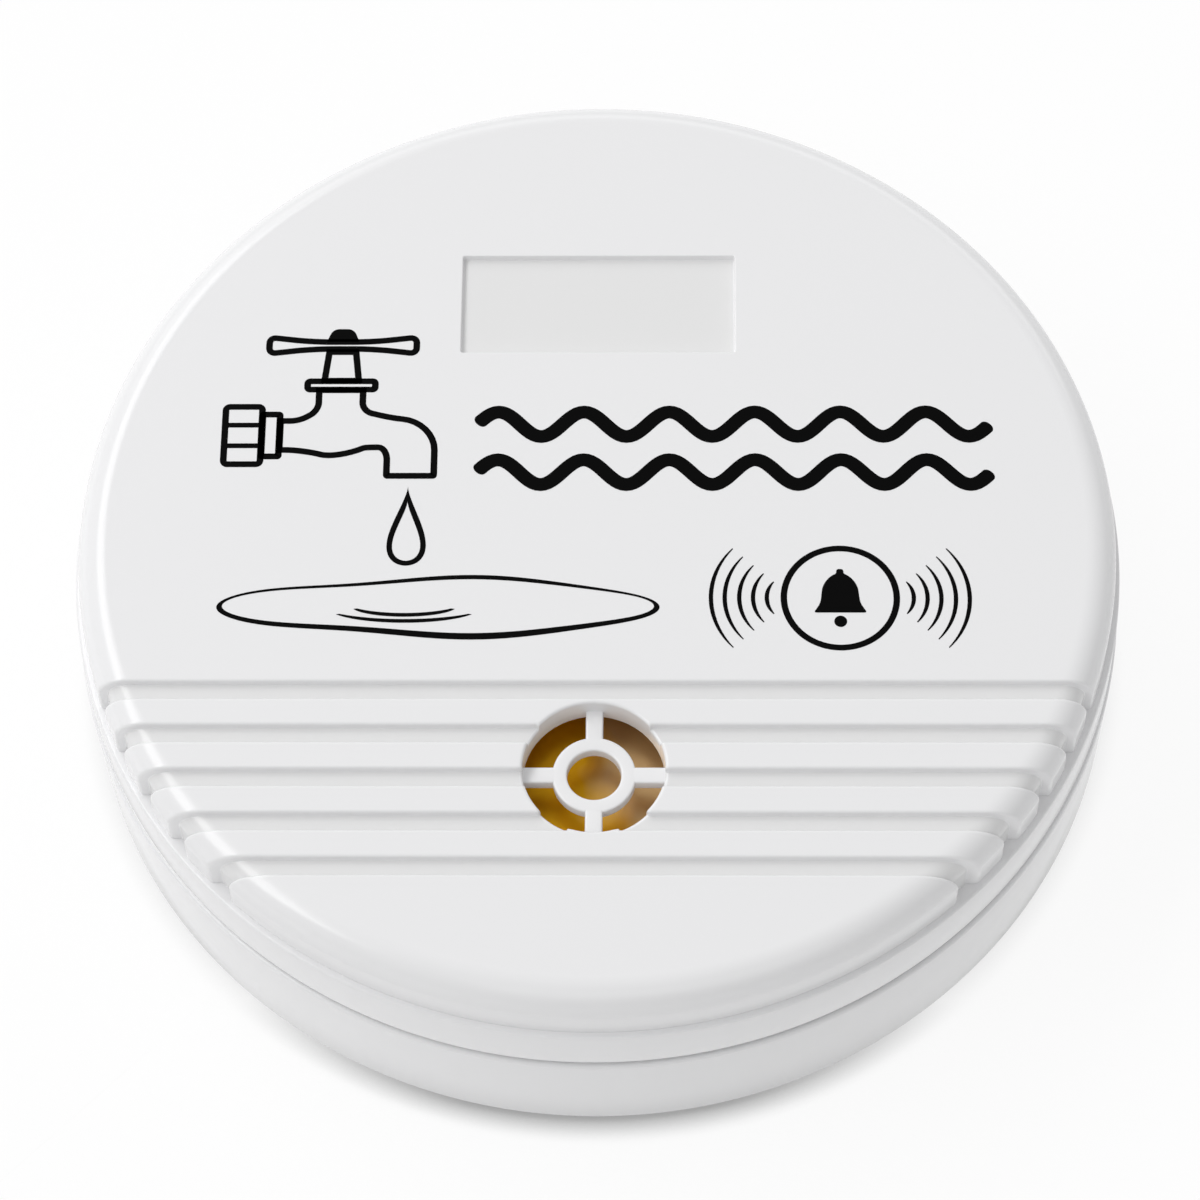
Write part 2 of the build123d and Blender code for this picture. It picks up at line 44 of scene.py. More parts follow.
# Case
CASE_RADIUS = 35.0
DRAFT = tan(radians(1.0))
RIM_BOTTOM = 1.0
FACE_TOP = 18.0
FACE_WALL = 2.0
CEILING = FACE_TOP - FACE_WALL
PLATEAU_RISE = 4.0
LEDGE_TOP = FACE_TOP - PLATEAU_RISE
SKIRT_HEIGHT = 3.85
SKIRT_BOTTOM = LEDGE_TOP - SKIRT_HEIGHT
PARTING_GAP = 0.5
BASE_TOP = SKIRT_BOTTOM - PARTING_GAP
BASE_BOTTOM_RADIUS = CASE_RADIUS - (BASE_TOP - RIM_BOTTOM) * DRAFT
SPIGOT_RADIUS = 33.8
FIT_CLEARANCE = 0.15
REBATE_RADIUS = SPIGOT_RADIUS + FIT_CLEARANCE
REBATE_HEIGHT = 2.7
REBATE_TOP = BASE_TOP + REBATE_HEIGHT
BASE_STEP = 0.15
SKIRT_RADIUS = CASE_RADIUS - BASE_STEP
LEDGE_RADIUS = SKIRT_RADIUS - SKIRT_HEIGHT * DRAFT
LEDGE_WIDTH = 0.42
PLATEAU_RADIUS = LEDGE_RADIUS - LEDGE_WIDTH
PLATEAU_WALL = 1.75
COVER_INNER_RADIUS = PLATEAU_RADIUS - PLATEAU_WALL
RIM_EDGE = 0.3
RIM_TUCK = 0.003  # lifts the rim's inner edge just under the floor's surface, clear of its plane
LEDGE_EDGE = 0.2

# Raised face with its rounded edge
PLATEAU_EDGE = 2.0
FLAT_RADIUS = PLATEAU_RADIUS - PLATEAU_EDGE
SUPPORT = 0.05  # how far beside a rounding the next edge lies, to keep its shading in place

# Grooves
PORT_INSET = 15.01
PORT_Y = PORT_INSET - COVER_INNER_RADIUS
GROOVE_COUNT = 5
GROOVE_LEAD = 5.55
GROOVE_FIRST_Y = PORT_Y + GROOVE_LEAD
GROOVE_PITCH = 3.14
GROOVE_HALF = 0.62
GROOVE_DEPTH = 0.55
GROOVE_EDGE = 0.16
GROOVE_CORNER = 0.05
GROOVE_MARGIN = 0.6
ROW_GAP = 0.02  # rows of the grooved field are no closer than this
ROW_SHARES = (0.004, 0.3, 0.65)  # where a row has points between the port and the face's edge

# Sound port
PORT_RADIUS = 4.6
PORT_EDGE = 0.2
HUB_OUTER = 2.7
HUB_INNER = 1.75
HUB_DROP = 1.2
HUB_TOP = FACE_TOP - HUB_DROP
HUB_EDGE = 0.15
SPOKE_WIDTH = 1.13
SPOKE_COUNT = 4

# Bare recess
PLATE_LENGTH = 18.5
PLATE_HEIGHT = 7.7
PLATE_INSET = 16.95
PLATE_Y = PLATEAU_RADIUS - PLATE_INSET
PLATE_DEPTH = 0.45
PLATE_EDGE = 0.07
PLATE_ROOT = 0.03
PLATE_CORNER = 0.15
PLATE_DRAFT = tan(radians(5.0))

# Steps of the curves
TURN_STEPS = 720
UPPER_EDGE_STEPS = 200
LOWER_EDGE_STEPS = 100
EDGE_STEPS = 12
LIP_STEPS = 5
ROOT_STEPS = 4
PORT_STEPS = 72
PORT_EDGE_STEPS = 4
HUB_STEPS = 96
SOFT_SEGMENTS = 4
CORNER_SEGMENTS = 8

# How close counts in a mesh
MERGE = 1e-4  # for corners that are one
SEAM = 1e-3  # for corners along the seams of the face
NEAR = 0.002  # for an edge that lies on a ring
SLACK = 0.01  # for a corner that lies inside a limit
LEVEL = 0.99999  # a face whose normal is this upright is level, and is shaded flat
SHARP_ANGLE = 32  # degrees between two faces from which their edge is sharp

# Places of the cover's finishes in its list
RECESS_SLOT = 1
GROOVE_SHADE_SLOT = 2


# Mesh tools
def new_object(name, bm):
    """Scales a bmesh to metres and links it as an object."""
    bmesh.ops.scale(bm, vec=(MM, MM, MM), verts=bm.verts)
    mesh = bpy.data.meshes.new(name)
    bm.to_mesh(mesh)
    bm.free()
    made = bpy.data.objects.new(name, mesh)
    bpy.context.collection.objects.link(made)
    return made


def new_piece(name, bm, finishes, *nodes):
    """Makes a bmesh a piece on the case, standing for the given nodes."""
    piece = new_object(name, bm)
    for material in finishes:
        piece.data.materials.append(material)
    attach(piece, "root")
    if nodes:
        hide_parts(*nodes)
    return piece


def shade(piece):
    """Smooth shading with sharp edges."""
    piece.data.shade_smooth()
    piece.data.set_sharp_from_angle(angle=radians(SHARP_ANGLE))


def rings_at(bm, radius, height):
    """The edges of the circle of a radius and a height about the case's axis."""
    def on(vert):
        return abs(vert.co.xy.length - radius) < NEAR and abs(vert.co.z - height) < NEAR
    return [e for e in bm.edges if on(e.verts[0]) and on(e.verts[1])]


def soften(bm, edges, radius):
    """Rounds edges."""
    bmesh.ops.bevel(
        bm, geom=edges, offset=radius, offset_type="OFFSET", affect="EDGES",
        segments=SOFT_SEGMENTS, profile=0.5, material=-1, clamp_overlap=False,
    )


def round_corners(bm, corners, radius, segments=CORNER_SEGMENTS):
    """Rounds corners of a flat shape."""
    bmesh.ops.bevel(
        bm, geom=corners, offset=radius, offset_type="OFFSET", affect="VERTICES",
        segments=segments, profile=0.5, material=-1,
    )


def turned(outline, steps=TURN_STEPS):
    """A shape turned about the case's axis from an open outline of radius and height."""
    bm = bmesh.new()
    verts = [bm.verts.new((radius, 0, height)) for radius, height in outline]
    edges = [bm.edges.new(pair) for pair in zip(verts, verts[1:])]
    bmesh.ops.spin(
        bm, geom=verts + edges, cent=(0, 0, 0), axis=(0, 0, 1), angle=2 * pi,
        steps=steps, use_merge=True,
    )
    bmesh.ops.remove_doubles(bm, verts=bm.verts, dist=MERGE)
    bmesh.ops.recalc_face_normals(bm, faces=bm.faces)
    return bm


def add(bm, other):
    """Adds another bmesh's geometry."""
    mesh = bpy.data.meshes.new("part")
    other.to_mesh(mesh)
    other.free()
    bm.from_mesh(mesh)
    bpy.data.meshes.remove(mesh)


def kept_solid(node_name, keeps):
    """A merged copy of a node's mesh, in millimetres, of the faces whose corners pass a test."""
    bm = bmesh.new()
    bm.from_mesh(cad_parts[node_name].data)
    bmesh.ops.scale(bm, vec=(1 / MM,) * 3, verts=bm.verts)
    bmesh.ops.remove_doubles(bm, verts=bm.verts, dist=MERGE)
    spare = [f for f in bm.faces if not all(keeps(v.co) for v in f.verts)]
    bmesh.ops.delete(bm, geom=spare, context="FACES")
    for face in bm.faces:
        face.material_index = 0
    return bm


# Front cover
def groove_middle(index):
    """Height on the face of a groove's middle line."""
    return GROOVE_FIRST_Y - index * GROOVE_PITCH


MIDDLES = [groove_middle(i) for i in range(GROOVE_COUNT)]
FIELD_MIDDLE = groove_middle(GROOVE_COUNT // 2)
UPPER_ROW = MIDDLES[0] + GROOVE_HALF + GROOVE_MARGIN
LOWER_ROW = MIDDLES[-1] - GROOVE_HALF - GROOVE_MARGIN


def quarter(steps):
    """Angles of a quarter turn."""
    return [pi / 2 * i / steps for i in range(steps + 1)]


def half_groove():
    """One wall of a groove from the face to its floor, as distance from the middle and depth."""
    mouth = GROOVE_HALF + GROOVE_EDGE
    root = GROOVE_HALF - GROOVE_CORNER
    top = GROOVE_DEPTH - GROOVE_CORNER
    points = [(mouth + SUPPORT, 0.0)]
    for a in quarter(LIP_STEPS):
        points.append((mouth - GROOVE_EDGE * sin(a), GROOVE_EDGE * (1 - cos(a))))
    for a in quarter(ROOT_STEPS):
        points.append((root + GROOVE_CORNER * cos(a), top + GROOVE_CORNER * sin(a)))
    return points + [(root - SUPPORT, GROOVE_DEPTH)]


def from_groove(y):
    """How far a height on the face is from the nearest groove's middle."""
    return min(abs(y - middle) for middle in MIDDLES)


def depth_at(y):
    """How far the grooved field lies under the face's top at a height on it."""
    reach = from_groove(y)
    wall = half_groove()
    for (outer, upper), (inner, lower) in zip(wall, wall[1:]):
        if inner < reach < outer:
            return upper + (lower - upper) * (outer - reach) / (outer - inner)
    return 0.0 if reach > GROOVE_HALF else GROOVE_DEPTH


def falls(y):
    """Whether the field goes down into a groove at a height on it, seen from above."""
    return y > min(MIDDLES, key=lambda middle: abs(y - middle))


def groove_rows():
    """Rows across the grooved field, from its upper edge down, as height on the face and depth."""
    wall = half_groove()
    rows = [(UPPER_ROW, 0.0), (LOWER_ROW, 0.0)]
    for middle in MIDDLES:
        rows += [(middle + reach, depth) for reach, depth in wall]
        rows += [(middle - reach, depth) for reach, depth in reversed(wall)]
    for k in range(PORT_STEPS + 1):
        y = PORT_Y + (PORT_RADIUS + PORT_EDGE) * cos(pi * k / PORT_STEPS)
        at_end = k in (0, PORT_STEPS)
        if at_end:
            rows = [row for row in rows if abs(row[0] - y) > ROW_GAP]
        if at_end or min(abs(row[0] - y) for row in rows) > ROW_GAP:
            rows.append((y, depth_at(y)))
    return sorted(rows, key=lambda row: (-row[0], row[1] if falls(row[0]) else -row[1]))


def across(radius, y):
    """Half the width of a circle at a height on it."""
    return sqrt(max(radius * radius - y * y, 0.0))


def edge_profile(depth):
    """The face's edge from the flat to the ledge, as radius and height, set in by a depth."""
    round_radius = PLATEAU_EDGE - depth
    middle = FACE_TOP - PLATEAU_EDGE
    side = FLAT_RADIUS + round_radius
    points = [(FLAT_RADIUS - SUPPORT, FACE_TOP - depth)]
    for a in quarter(EDGE_STEPS):
        points.append((FLAT_RADIUS + round_radius * sin(a), middle + round_radius * cos(a)))
    return points + [(side, middle - SUPPORT), (side, LEDGE_TOP)]


def row_points(y, depth):
    """The points of half a row, from the port's wall or the middle line out to the ledge."""
    top = FACE_TOP - depth
    reach = PORT_RADIUS + PORT_EDGE
    rim = across(reach, y - PORT_Y)
    wall = [(PORT_RADIUS, CEILING)]
    for a in quarter(PORT_EDGE_STEPS):
        wall.append((reach - PORT_EDGE * cos(a), top - PORT_EDGE * (1 - sin(a))))
    if abs(y - PORT_Y) <= reach + MERGE:
        side, rise = rim / reach, (y - PORT_Y) / reach
        points = [(side * r, PORT_Y + rise * r, z) for r, z in wall]
    else:
        points = [(0.0, y, top)] * len(wall)
    flat = across(FLAT_RADIUS - SUPPORT, y)
    points += [(rim + (flat - rim) * share, y, top) for share in ROW_SHARES]
    return points + [(across(r, y), y, z) for r, z in edge_profile(depth)]


def grooved_field():
    """The part of the face that the grooves and the port cross, as two mirrored halves."""
    rows = [row_points(y, depth) for y, depth in groove_rows()]
    bm = bmesh.new()
    for side in (1, -1):
        old = set(bm.verts)
        bmesh.ops.create_grid(bm, x_segments=len(rows[0]) - 1, y_segments=len(rows) - 1, size=1)
        grid = [v for v in bm.verts if v not in old]
        for vert, point in zip(grid, [p for row in rows for p in row]):
            vert.co = (side * point[0], point[1], point[2])
    bmesh.ops.remove_doubles(bm, verts=bm.verts, dist=MERGE)
    between = [f for f in bm.faces if all(abs(v.co.x) < MERGE for v in f.verts)]
    bmesh.ops.delete(bm, geom=between, context="FACES")
    bmesh.ops.dissolve_degenerate(bm, edges=bm.edges, dist=MERGE / 10)
    # Groove floors away from the port take the finish drawn greyer as painted shade
    for face in bm.faces:
        place = face.calc_center_median()
        from_port = (place.xy - Vector((0, PORT_Y))).length
        on_floor = from_groove(place.y) < GROOVE_HALF - GROOVE_CORNER
        if on_floor and from_port > PORT_RADIUS + PORT_EDGE:
            face.material_index = GROOVE_SHADE_SLOT
    return bm


def plain_edge(y, steps):
    """The rounded edge beyond a row without a groove, from one end of the row to the other."""
    profile = edge_profile(0.0)
    bm = bmesh.new()
    bmesh.ops.create_grid(bm, x_segments=len(profile) - 1, y_segments=steps, size=1)
    grid = list(bm.verts)
    turn = 1 if y > FIELD_MIDDLE else -1
    for i, vert in enumerate(grid):
        radius, height = profile[i % len(profile)]
        start = asin(turn * y / radius)
        angle = start + (pi - 2 * start) * (i // len(profile)) / steps
        vert.co = (radius * cos(angle), turn * radius * sin(angle), height)
    return bm


def recess_loops():
    """The bare recess: a rounded opening, a drafted wall and a flat floor with its own finish."""
    bm = bmesh.new()
    bmesh.ops.create_grid(bm, x_segments=1, y_segments=1, size=0.5)
    lip = PLATE_EDGE + SUPPORT
    bmesh.ops.scale(bm, vec=(PLATE_LENGTH + 2 * lip, PLATE_HEIGHT + 2 * lip, 1), verts=bm.verts)
    bmesh.ops.translate(bm, vec=(0, PLATE_Y, FACE_TOP), verts=bm.verts)
    round_corners(bm, bm.verts[:], PLATE_CORNER + lip)
    arcs = quarter(LIP_STEPS)
    turns = [(cos(a) - cos(b), sin(b) - sin(a)) for a, b in zip(arcs, arcs[1:])]
    wall = PLATE_DEPTH - PLATE_EDGE - PLATE_ROOT
    steps = [(SUPPORT, 0.0)]
    steps += [(PLATE_EDGE * rise, PLATE_EDGE * run) for run, rise in turns]
    steps += [(wall * PLATE_DRAFT, wall)]
    steps += [(PLATE_ROOT * run, PLATE_ROOT * rise) for run, rise in turns]
    steps += [(SUPPORT, 0.0)]
    floor = list(bm.faces)
    for inset, drop in steps:
        bmesh.ops.inset_region(
            bm, faces=floor, thickness=inset, depth=-drop, use_even_offset=True, use_boundary=True
        )
    for face in floor:
        face.material_index = RECESS_SLOT
    return bm


def fill_flat(bm):
    """Closes the flat of the face, round the recess, between the grooved field and the edge."""
    def on_top(edge):
        return all(abs(v.co.z - FACE_TOP) < SEAM for v in edge.verts)
    level = [e for e in bm.edges if e.is_boundary and on_top(e)]
    for above in (True, False):
        side = [e for e in level if (e.verts[0].co.y > FIELD_MIDDLE) == above]
        bmesh.ops.triangle_fill(bm, use_beauty=True, edges=side, normal=(0, 0, 1))


def port_grille():
    """The hub ring and its spokes, with softened upper edges."""
    low, high = CEILING, HUB_TOP
    ring = [(HUB_INNER, low), (HUB_INNER, high), (HUB_OUTER, high), (HUB_OUTER, low)]
    bm = turned(ring + ring[:1], HUB_STEPS)
    soften(bm, rings_at(bm, HUB_INNER, high) + rings_at(bm, HUB_OUTER, high), HUB_EDGE)
    inner = HUB_OUTER - HUB_EDGE
    length = PORT_RADIUS + HUB_EDGE - inner
    for i in range(SPOKE_COUNT):
        spoke = bmesh.new()
        bmesh.ops.create_cube(spoke, size=1)
        bmesh.ops.scale(spoke, vec=(length, SPOKE_WIDTH, high - low), verts=spoke.verts)
        middle = (inner + length / 2, 0, (high + low) / 2)
        bmesh.ops.translate(spoke, vec=middle, verts=spoke.verts)
        upper = [e for e in spoke.edges if all(v.co.z > high - SLACK for v in e.verts)]
        lengthwise = [e for e in upper if abs(e.verts[0].co.x - e.verts[1].co.x) > length / 2]
        soften(spoke, lengthwise, HUB_EDGE)
        turn = Matrix.Rotation(2 * pi * i / SPOKE_COUNT, 3, "Z")
        bmesh.ops.rotate(spoke, cent=(0, 0, 0), matrix=turn, verts=spoke.verts)
        add(bm, spoke)
    under = [f for f in bm.faces if all(v.co.z < low + NEAR for v in f.verts)]
    bmesh.ops.delete(bm, geom=under, context="FACES")
    bmesh.ops.translate(bm, vec=(0, PORT_Y, 0), verts=bm.verts)
    return bm


def cover_rim():
    """The skirt and the narrow ledge round the raised face."""
    bm = turned([
        (COVER_INNER_RADIUS, REBATE_TOP),
        (REBATE_RADIUS, REBATE_TOP),
        (REBATE_RADIUS, SKIRT_BOTTOM),
        (SKIRT_RADIUS, SKIRT_BOTTOM),
        (LEDGE_RADIUS, LEDGE_TOP),
        (COVER_INNER_RADIUS + SUPPORT, LEDGE_TOP),
    ])
    lower = rings_at(bm, SKIRT_RADIUS, SKIRT_BOTTOM)
    soften(bm, lower + rings_at(bm, LEDGE_RADIUS, LEDGE_TOP), LEDGE_EDGE)
    return bm


def front_cover(*finishes):
    """The cover's fine outer surface with the inside of its own solid."""
    bm = grooved_field()
    add(bm, plain_edge(UPPER_ROW, UPPER_EDGE_STEPS))
    add(bm, plain_edge(LOWER_ROW, LOWER_EDGE_STEPS))
    bmesh.ops.remove_doubles(bm, verts=bm.verts, dist=SEAM)
    add(bm, recess_loops())
    fill_flat(bm)
    bmesh.ops.recalc_face_normals(bm, faces=bm.faces)
    add(bm, cover_rim())
    add(bm, port_grille())
    inside, under = COVER_INNER_RADIUS + SLACK, CEILING + SLACK
    add(bm, kept_solid("front_cover", lambda co: co.xy.length < inside and co.z < under))
    piece = new_piece("front_cover_shell", bm, finishes, "front_cover")
    shade(piece)
    return piece


# Base
def base_case(*finishes):
    """The base's fine outer wall with the floor and the inside of its own solid."""
    bottom = BASE_BOTTOM_RADIUS - RIM_EDGE
    bm = turned([
        (bottom - SUPPORT, RIM_BOTTOM + RIM_TUCK),
        (BASE_BOTTOM_RADIUS, RIM_BOTTOM),
        (CASE_RADIUS, BASE_TOP),
        (SPIGOT_RADIUS, BASE_TOP),
    ])
    lower = rings_at(bm, BASE_BOTTOM_RADIUS, RIM_BOTTOM)
    soften(bm, lower + rings_at(bm, CASE_RADIUS, BASE_TOP), RIM_EDGE)
    add(bm, kept_solid("base", lambda co: co.xy.length < bottom + SLACK))
    piece = new_piece("base_shell", bm, finishes, "base")
    shade(piece)
    for face in piece.data.polygons:
        face.use_smooth = abs(face.normal.z) < LEVEL
    return piece


# Print on the face: drawn flat, then set a little above it
PRINT_LIFT = 0.012
LINE = 0.37
TAP_LINE = 0.45
THIN_LINE = 0.29
BOLD_LINE = 1.0

# Outlines of the tap: each corner is a place and a rounding
TAP_BODY = [
    (-21.4, 5.7, 0.0), (-19.6, 5.7, 1.2), (-17.3, 5.0, 2.0), (-15.4, 5.9, 0.8), (-14.2, 5.9, 0.8),
    (-14.2, 3.7, 0.3), (-10.6, 3.7, 0.3), (-10.6, 8.3, 2.4), (-13.6, 8.6, 0.8), (-15.5, 9.1, 0.5),
    (-15.5, 10.8, 0.0), (-18.9, 10.8, 0.0), (-18.9, 9.1, 0.5), (-20.0, 8.4, 0.5), (-21.4, 8.4, 0.0),
]
TAP_SLEEVE = [(-22.6, 5.2, 0.3), (-21.0, 5.2, 0.3), (-21.0, 8.9, 0.3), (-22.6, 8.9, 0.3)]
TAP_NUT = [(-25.1, 4.6, 0.5), (-22.2, 4.6, 0.5), (-22.2, 9.5, 0.5), (-25.1, 9.5, 0.5)]
TAP_NUT_FACETS = (6.25, 7.85)
TAP_COLLAR = [(-19.7, 10.4, 0.4), (-14.7, 10.4, 0.4), (-14.7, 11.5, 0.4), (-19.7, 11.5, 0.4)]
TAP_STEM = [(-18.6, 11.1, 0.0), (-15.8, 11.1, 0.0), (-16.1, 13.8, 0.0), (-18.3, 13.8, 0.0)]
TAP_HANDLE = [
    (-22.4, 13.2, 0.7), (-19.2, 13.6, 1.2), (-15.2, 13.6, 1.2), (-12.0, 13.2, 0.7),
    (-12.0, 15.0, 0.7), (-15.2, 14.6, 1.2), (-19.2, 14.6, 1.2), (-22.4, 15.0, 0.7),
]
TAP_CAP = [(-18.3, 14.4, 0.0), (-16.1, 14.4, 0.0), (-16.5, 15.4, 0.4), (-17.9, 15.4, 0.4)]

# Drop
DROP_MIDDLE = (-12.5, 0.1)
DROP_HALF_HEIGHT = 3.0
DROP_HALF_WIDTH = 1.3
DROP_FULLNESS = 1.3
DROP_TIP = 0.75
DROP_STEPS = 64

# Standing water with its lobes and ripples
PUDDLE_MIDDLE = (-10.3, -6.0)
PUDDLE_HALF_LENGTH = 14.5
PUDDLE_HALF_HEIGHT = 2.2
PUDDLE_STEPS = 120
LOBE_RISE = 0.1
LOBE_PACE = 5
LOBE_START = 0.6
LOBE_LEAN = 0.06
RIPPLES = ((2.9, 62), (4.4, 52))  # radius and half angle in degrees, before they are flattened
RIPPLE_LINE = THIN_LINE * 3.2
RIPPLE_FLATTEN = (1.25, 0.3, 1)
RIPPLE_RISE = 0.3

# Two bold waves
WAVE_START = -8.0
WAVE_LENGTH = 34.2
WAVE_COUNT = 6
WAVE_RISE = 0.95
WAVE_HEIGHTS = (7.9, 4.2)
WAVE_STEPS = 24
WAVE_END = BOLD_LINE * 0.45
WAVE_END_SEGMENTS = 6

# Round sign with a bell and sound arcs
SIGN_MIDDLE = (16.0, -5.3)
SIGN_RADIUS = 3.9
SIGN_LINE = LINE * 1.15
SIGN_STEPS = 96
ARC_SHIFT = 3.05
ARC_RADII = (1.75, 2.65, 3.55, 4.5, 5.4)
ARC_HALF_ANGLE = 43
ARC_TAPER = 0.75
ARC_STEPS = 24
BELL_RISE = 0.05
BELL_OUTLINE = [
    (-1.75, -1.15, 0.18), (1.75, -1.15, 0.18), (1.3, -0.45, 0.3), (1.15, 0.9, 0.4),
    (0.6, 1.6, 0.3), (0.25, 1.75, 0.1), (0.22, 2.1, 0.15), (-0.22, 2.1, 0.15),
    (-0.25, 1.75, 0.1), (-0.6, 1.6, 0.3), (-1.15, 0.9, 0.4), (-1.3, -0.45, 0.3),
]
CLAPPER_RADIUS = 0.42
CLAPPER_DROP = 1.75
CLAPPER_STEPS = 32


def drawn(corners, line=None):
    """A flat shape from its corners and their roundings, filled or as a line inside its edge."""
    bm = bmesh.new()
    verts = [bm.verts.new((x, y, 0)) for x, y, _ in corners]
    bm.faces.new(verts)
    for vert, (_, _, radius) in zip(verts, corners):
        if radius:
            round_corners(bm, [vert], radius)
    return lined(bm, line)


def lined(bm, line):
    """Leaves a line of a width inside a flat shape's edge, or cuts the shape into triangles."""
    shape = list(bm.faces)
    bm.normal_update()
    if line:
        bmesh.ops.inset_region(
            bm, faces=shape, thickness=line, use_even_offset=True, use_boundary=True
        )
        bmesh.ops.delete(bm, geom=shape, context="FACES")
    else:
        bmesh.ops.triangulate(bm, faces=shape)
    return bm


def moved(bm, x, y):
    """Moves a flat shape to its place on the face."""
    bmesh.ops.translate(bm, vec=(x, y, 0), verts=bm.verts)
    return bm


def spun(bm, degrees):
    """Turns a flat shape about the origin."""
    turn = Matrix.Rotation(radians(degrees), 3, "Z")
    bmesh.ops.rotate(bm, cent=(0, 0, 0), matrix=turn, verts=bm.verts)


def bar(left, right, bottom, top):
    """A filled rectangle."""
    return drawn([(left, bottom, 0), (right, bottom, 0), (right, top, 0), (left, top, 0)])


def round_shape(radius, steps, line=None):
    """A disc, or a ring of a line's width."""
    bm = bmesh.new()
    bmesh.ops.create_circle(bm, cap_ends=True, radius=radius, segments=steps)
    return lined(bm, line)


def drop_shape():
    """A drop in a line that thickens to a solid tip: a loop bridged to a smaller one low in it."""
    bm = bmesh.new()
    loops = (
        (DROP_HALF_WIDTH, DROP_HALF_HEIGHT, 0.0),
        (DROP_HALF_WIDTH - LINE, DROP_HALF_HEIGHT - DROP_TIP, LINE - DROP_TIP),
    )
    for half_width, half_height, shift in loops:
        for vert in bmesh.ops.create_circle(bm, radius=1, segments=DROP_STEPS)["verts"]:
            x, y = vert.co.xy
            vert.co = (half_width * x * (1 - y) / DROP_FULLNESS, half_height * y + shift, 0)
    bmesh.ops.bridge_loops(bm, edges=bm.edges)
    return bm


def puddle_shape():
    """Standing water: a long, softly lobed loop bridged to one that leaves the near edge heavy."""
    bm = bmesh.new()
    loops = (
        (PUDDLE_HALF_LENGTH, PUDDLE_HALF_HEIGHT, 0.0),
        (PUDDLE_HALF_LENGTH - LINE, PUDDLE_HALF_HEIGHT - LINE, LINE - THIN_LINE),
    )
    for half_length, half_height, shift in loops:
        for vert in bmesh.ops.create_circle(bm, radius=1, segments=PUDDLE_STEPS)["verts"]:
            x, y = vert.co.xy
            lobe = 1 + LOBE_RISE * sin(LOBE_PACE * x + LOBE_START) + LOBE_LEAN * x
            vert.co = (half_length * x, half_height * y * lobe + shift, 0)
    bmesh.ops.bridge_loops(bm, edges=bm.edges)
    return bm


def arc_line(radius, half_angle, width, middle_angle=0.0):
    """Part of a ring, drawn out to points at its ends. Angles are in degrees."""
    bm = bmesh.new()
    ends = [bm.verts.new((radius + side * width / 2, 0, 0)) for side in (-1, 1)]
    edge = bm.edges.new(ends)
    span = radians(half_angle)
    spun(bm, -half_angle)
    bmesh.ops.spin(
        bm, geom=ends + [edge], cent=(0, 0, 0), axis=(0, 0, 1), angle=2 * span, steps=ARC_STEPS
    )
    for vert in bm.verts:
        share = vert.co.xy.angle_signed(Vector((1, 0))) / span
        fine = radius + (vert.co.length - radius) * (1 - ARC_TAPER * share * share)
        vert.co = vert.co.normalized() * fine
    spun(bm, middle_angle)
    return bm


def wave_line():
    """A bold wave of constant width with rounded ends."""
    bm = bmesh.new()
    bmesh.ops.create_grid(bm, x_segments=WAVE_COUNT * WAVE_STEPS, y_segments=1, size=0.5)
    pace = 2 * pi * WAVE_COUNT / WAVE_LENGTH
    for vert in bm.verts:
        along = (vert.co.x + 0.5) * WAVE_LENGTH
        slope = WAVE_RISE * pace * cos(pace * along)
        off = vert.co.y * BOLD_LINE / sqrt(1 + slope * slope)
        vert.co = (WAVE_START + along - slope * off, WAVE_RISE * sin(pace * along) + off, 0)
    corners = [v for v in bm.verts if len(v.link_edges) == 2]
    round_corners(bm, corners, WAVE_END, WAVE_END_SEGMENTS)
    return bm


def face_print(*finishes):
    """The tap, the drop, the water, the waves and the sign as one thin layer of ink."""
    bm = drawn(TAP_BODY, TAP_LINE)
    for outline in (TAP_SLEEVE, TAP_NUT, TAP_COLLAR, TAP_STEM, TAP_HANDLE):
        add(bm, drawn(outline, TAP_LINE))
    add(bm, drawn(TAP_CAP))
    nut_left, nut_right = TAP_NUT[0][0] + TAP_LINE, TAP_NUT[1][0] - TAP_LINE
    for height in TAP_NUT_FACETS:
        add(bm, bar(nut_left, nut_right, height - LINE / 2, height + LINE / 2))
    add(bm, moved(drop_shape(), *DROP_MIDDLE))
    add(bm, moved(puddle_shape(), *PUDDLE_MIDDLE))
    for radius, angle in RIPPLES:
        ripple = arc_line(radius, angle, RIPPLE_LINE, -90)
        bmesh.ops.scale(ripple, vec=RIPPLE_FLATTEN, verts=ripple.verts)
        add(bm, moved(ripple, DROP_MIDDLE[0], PUDDLE_MIDDLE[1] + RIPPLE_RISE))
    for height in WAVE_HEIGHTS:
        add(bm, moved(wave_line(), 0, height))
    x, y = SIGN_MIDDLE
    add(bm, moved(round_shape(SIGN_RADIUS, SIGN_STEPS, SIGN_LINE), x, y))
    add(bm, moved(drawn(BELL_OUTLINE), x, y + BELL_RISE))
    add(bm, moved(round_shape(CLAPPER_RADIUS, CLAPPER_STEPS), x, y - CLAPPER_DROP))
    for side, angle in ((-1, 180), (1, 0)):
        for radius in ARC_RADII:
            arc = arc_line(radius, ARC_HALF_ANGLE, THIN_LINE, angle)
            add(bm, moved(arc, x + side * ARC_SHIFT, y))
    bmesh.ops.translate(bm, vec=(0, 0, FACE_TOP + PRINT_LIFT), verts=bm.verts)
    bm.normal_update()
    for face in bm.faces:
        if face.normal.z < 0:
            face.normal_flip()
    return new_piece("face_print", bm, finishes)


# Finishes
GRAIN_DETAIL = 3.0
GRAIN_LIFT = 0.1  # a bump's height, as a share of the grain's width
PATCH_DETAIL = 2.0
PATCH_STOPS = (0.45, 0.75)
ABS_IOR = 1.53


